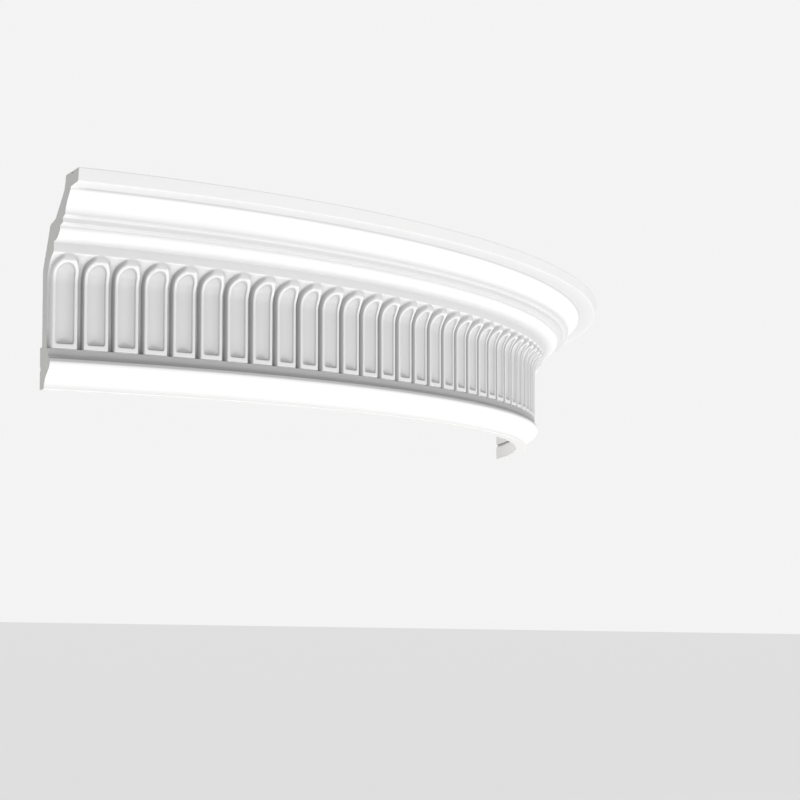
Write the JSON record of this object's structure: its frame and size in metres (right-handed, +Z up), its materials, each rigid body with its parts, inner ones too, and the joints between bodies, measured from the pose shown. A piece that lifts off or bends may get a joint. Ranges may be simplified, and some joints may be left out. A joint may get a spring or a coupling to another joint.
{
  "type": "curved cornice moulding length",
  "caption": "Curved ceiling cornice moulding with a stepped and rounded crown, a band of arched upright flutes and a wave-shaped foot, cut square at both ends.",
  "frame": {"origin": "a point on the flat ceiling face at mid-length, between the glue groove and the front lip, 97 mm in front of the wall face", "axes": "+Z up and out of the ceiling face, -Y the way the moulding faces into the room at mid-length, +X along the chord to the right as seen from the room"},
  "size_m": [1.188, 0.2778, 0.18],
  "materials": {
    "primed_white": "matte white primer on rigid moulded foam"
  },
  "bodies": {
    "root": {"cornice_length": "primed_white"}
  },
  "joints": []
}
